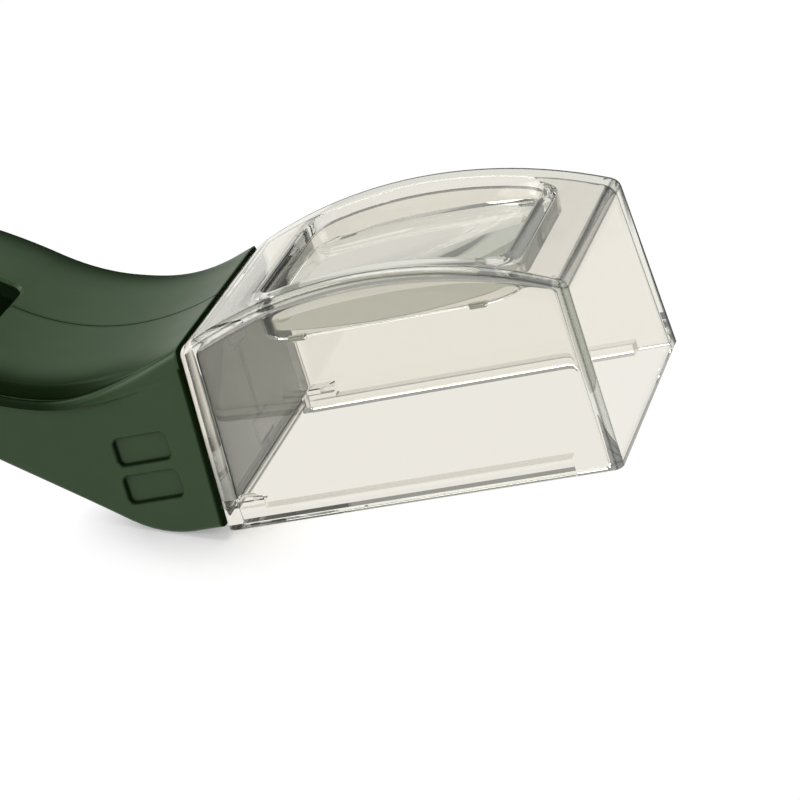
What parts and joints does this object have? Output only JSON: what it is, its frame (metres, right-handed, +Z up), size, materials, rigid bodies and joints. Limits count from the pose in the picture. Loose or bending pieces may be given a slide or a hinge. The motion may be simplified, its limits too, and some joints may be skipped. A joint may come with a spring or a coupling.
{
  "type": "bug viewer",
  "caption": "Handheld bug viewer: clear open-bottomed chamber with a lens in its arched top, on a curved handle whose thumb slide pushes a flexible trap door shut.",
  "frame": {"origin": "centre of the bounding box's base, on the table that the belly and the tail rest on", "axes": "+X along the tool towards the chamber, +Y to the user's left, +Z up; the tool lies tipped back with its chamber raised"},
  "size_m": [0.23, 0.0564, 0.0578],
  "materials": {
    "handle_plastic": "satin, moulded",
    "inner_plastic": "satin",
    "chamber_plastic": "clear, polished",
    "lens_plastic": "clear, optical",
    "door_film": "clear film",
    "screw_steel": "zinc plated",
    "spring_steel": "bright"
  },
  "bodies": {
    "viewer": {"handle_shell_right": "handle_plastic", "handle_shell_left": "handle_plastic", "viewing_chamber": "chamber_plastic", "magnifier_lens": "lens_plastic", "shell_screw_front_upper": "screw_steel", "shell_screw_front_lower": "screw_steel", "shell_screw_bend": "screw_steel", "shell_screw_palm_front": "screw_steel", "shell_screw_palm_rear": "screw_steel", "shell_screw_tail": "screw_steel"},
    "thumb_slide": {"thumb_button": "handle_plastic", "slider_carriage": "inner_plastic", "sheet_clamp": "inner_plastic", "slide_screw_front": "screw_steel", "slide_screw_rear": "screw_steel", "detent_leaf": "spring_steel"},
    "trap_door": {"door_lip": "chamber_plastic", "trap_door_sheet": "door_film"}
  },
  "joints": [
    {"name": "thumb_slide_travel", "type": "hinge", "parent": "viewer", "child": "thumb_slide", "pos_m": [-0.04474, 0, -0.07963], "axis": [0, 1, 0], "range_deg": [0, 37.84]},
    {"name": "trap_door_travel", "type": "slide", "parent": "viewer", "child": "trap_door", "axis": [0.9533, 0, 0.302], "range_m": [0, 0.0701], "deforming": ["trap_door_sheet"]}
  ],
  "couplings": [
    {"joint": "trap_door_travel", "follows": "thumb_slide_travel", "m_per_rad": 0.106}
  ]
}
